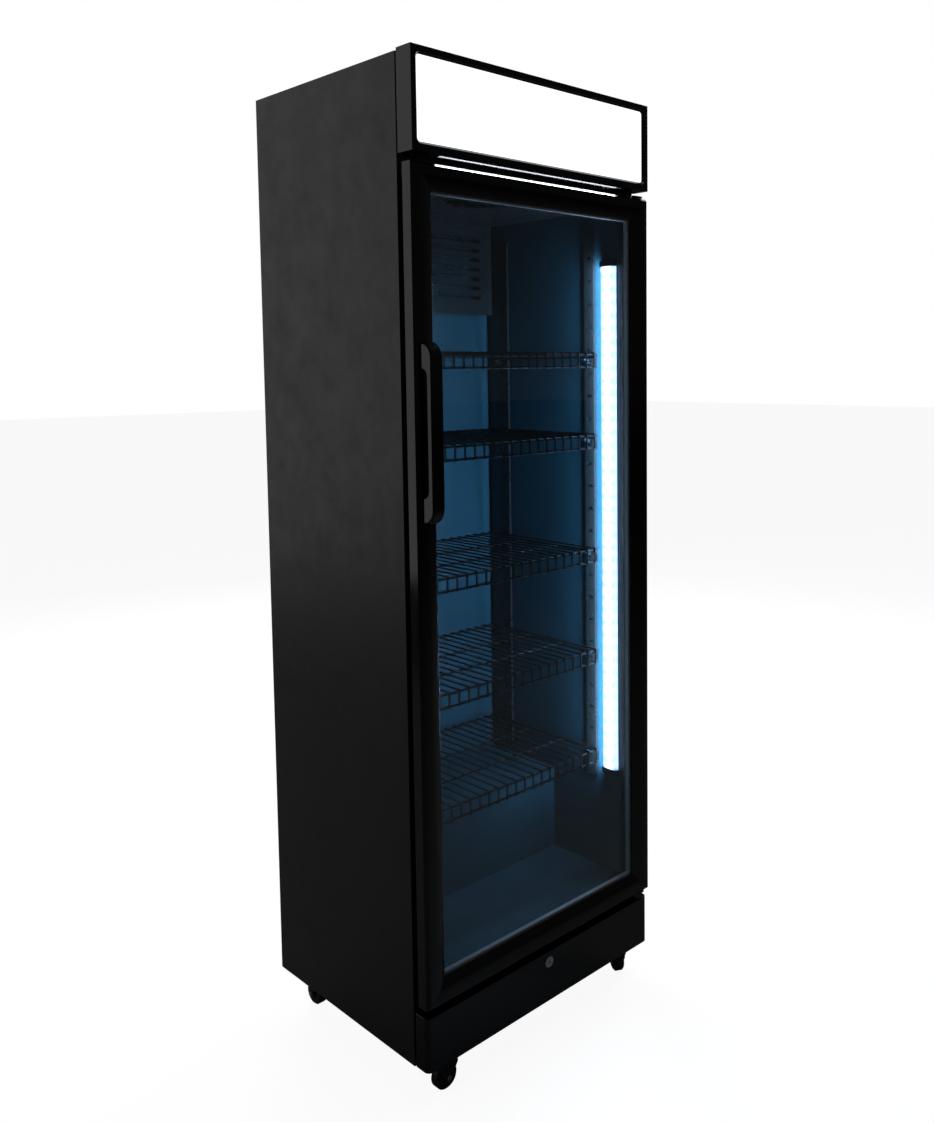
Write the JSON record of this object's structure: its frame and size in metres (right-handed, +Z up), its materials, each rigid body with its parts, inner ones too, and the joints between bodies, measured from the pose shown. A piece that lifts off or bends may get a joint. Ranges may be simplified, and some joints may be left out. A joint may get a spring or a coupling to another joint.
{
  "type": "glass door merchandiser",
  "caption": "Upright display cooler with a framed glass door, pull handle, lit canopy, wire shelves, interior lamp strip and fan-cooled refrigeration unit on braked castors",
  "frame": {"origin": "on the floor, under the centre of the bounding box", "axes": "+Z up, the door faces -Y, +X to the right for someone facing the door; hinges at +X, handle at -X"},
  "size_m": [0.62, 0.537, 1.896],
  "materials": {
    "cabinet_paint": "fine-textured satin charcoal powder coat",
    "galvanised_sheet": "zinc-coated steel sheet",
    "foam": "closed-cell foam",
    "liner": "satin black vacuum-formed liner",
    "face_trim": "satin black moulding",
    "door_frame": "high gloss black",
    "handle": "gloss black front, satin sides",
    "gasket": "soft black PVC",
    "glass": "clear float glass",
    "spacer": "bright anodised",
    "canopy_trim": "gloss black",
    "diffuser": "opal white, lit from behind",
    "lamp_clear": "clear extruded cover",
    "chrome": "polished",
    "switch": "satin black",
    "hinge_steel": "black coated steel plate",
    "bush": "white nylon",
    "screw_steel": "zinc plated",
    "shelf_wire": "black coated wire",
    "shelf_fitting": "satin steel",
    "lamp_board": "white circuit board",
    "duct_sheet": "satin black sheet",
    "fin_aluminium": "mill finish fins",
    "fan_plastic": "satin black",
    "compressor_paint": "gloss black",
    "copper": "drawn copper",
    "grille_paint": "satin black",
    "cable_rubber": "moulded",
    "castor_zinc": "bright zinc plated",
    "castor_tyre": "grey rubber",
    "pedal": "black nylon"
  },
  "bodies": {
    "cabinet": {"outer_wrapper": "cabinet_paint", "rear_panel": "galvanised_sheet", "belly_panel": "galvanised_sheet", "insulation": "foam", "inner_liner": "liner", "face_frame": "face_trim", "base_chassis": "galvanised_sheet", "kick_panel": "canopy_trim", "lock_body": "chrome", "canopy_housing": "canopy_trim", "canopy_bezel": "canopy_trim", "canopy_diffuser": "diffuser", "canopy_slot_lens": "diffuser", "light_switch_body": "switch", "upper_hinge": "hinge_steel", "lower_hinge": "hinge_steel", "shelf_standards": "shelf_fitting", "shelf_1": "shelf_wire", "shelf_2": "shelf_wire", "shelf_3": "shelf_wire", "shelf_4": "shelf_wire", "shelf_5": "shelf_wire", "shelf_clips": "shelf_fitting", "lamp_channel": "spacer", "lamp_cover": "lamp_clear", "led_boards": "lamp_board", "evaporator_cover": "duct_sheet", "evaporator_coil": "fin_aluminium", "compressor": "compressor_paint", "condenser_coil": "compressor_paint", "condenser_fan_shroud": "duct_sheet", "refrigerant_lines": "copper", "rear_grille": "grille_paint", "cable_gland": "cable_rubber", "castor_mounts": "castor_zinc"},
    "door": {"door_stile_handle": "door_frame", "door_stile_hinge": "door_frame", "door_rail_top": "door_frame", "door_rail_bottom": "door_frame", "outer_glass": "glass", "glass_spacer": "spacer", "inner_glass": "glass", "door_gasket": "gasket", "door_handle": "handle", "handle_screws": "screw_steel", "hinge_bushes": "bush"},
    "lock": {"lock_plug": "chrome"},
    "switch": {"light_switch_rocker": "switch"},
    "upper_fan": {"evaporator_fan": "fan_plastic"},
    "lower_fan": {"condenser_fan": "fan_plastic"},
    "fork_left": {"castor_fork_left": "castor_zinc"},
    "fork_right": {"castor_fork_right": "castor_zinc"},
    "pedal_left": {"brake_pedal_left": "pedal"},
    "pedal_right": {"brake_pedal_right": "pedal"},
    "wheel_fl": {"wheel_front_left": "castor_tyre"},
    "wheel_fr": {"wheel_front_right": "castor_tyre"},
    "wheel_rl": {"wheel_rear_left": "castor_tyre"},
    "wheel_rr": {"wheel_rear_right": "castor_tyre"}
  },
  "joints": [
    {"name": "door_hinge", "type": "hinge", "parent": "cabinet", "child": "door", "pos_m": [0.29, -0.2215, 0.95], "axis": [0, 0, 1], "range_deg": [0, 110]},
    {"name": "lock_turn", "type": "hinge", "parent": "cabinet", "child": "lock", "pos_m": [0, -0.2325, 0.158], "axis": [0, -1, 0], "range_deg": [0, 90]},
    {"name": "light_switch_rock", "type": "hinge", "parent": "cabinet", "child": "switch", "pos_m": [0.208, -0.2065, 1.7215], "axis": [0, -1, 0], "range_deg": [0, 12]},
    {"name": "evaporator_fan_spin", "type": "hinge", "parent": "cabinet", "child": "upper_fan", "pos_m": [0, -0.0465, 1.6955], "axis": [0, 0, 1], "continuous": true},
    {"name": "condenser_fan_spin", "type": "hinge", "parent": "cabinet", "child": "lower_fan", "pos_m": [0.1457, 0.1245, 0.192], "axis": [0, 1, 0], "continuous": true},
    {"name": "castor_swivel_left", "type": "hinge", "parent": "cabinet", "child": "fork_left", "pos_m": [-0.262, -0.1925, 0.062], "axis": [0, 0, 1], "continuous": true},
    {"name": "castor_swivel_right", "type": "hinge", "parent": "cabinet", "child": "fork_right", "pos_m": [0.262, -0.1925, 0.062], "axis": [0, 0, 1], "continuous": true},
    {"name": "brake_left", "type": "hinge", "parent": "fork_left", "child": "pedal_left", "pos_m": [-0.223, -0.1925, 0.051], "axis": [0, 1, 0], "range_deg": [0, 14]},
    {"name": "brake_right", "type": "hinge", "parent": "fork_right", "child": "pedal_right", "pos_m": [0.28031, -0.15807, 0.051], "axis": [-0.8829, 0.4695, 0], "range_deg": [0, 14]},
    {"name": "wheel_front_left_roll", "type": "hinge", "parent": "fork_left", "child": "wheel_fl", "pos_m": [-0.242, -0.1925, 0.025], "axis": [0, 1, 0], "continuous": true},
    {"name": "wheel_front_right_roll", "type": "hinge", "parent": "fork_right", "child": "wheel_fr", "pos_m": [0.27139, -0.17484, 0.025], "axis": [-0.8829, 0.4695, 0], "continuous": true},
    {"name": "wheel_rear_left_roll", "type": "hinge", "parent": "cabinet", "child": "wheel_rl", "pos_m": [-0.262, 0.2085, 0.025], "axis": [1, 0, 0], "continuous": true},
    {"name": "wheel_rear_right_roll", "type": "hinge", "parent": "cabinet", "child": "wheel_rr", "pos_m": [0.262, 0.2085, 0.025], "axis": [1, 0, 0], "continuous": true}
  ]
}
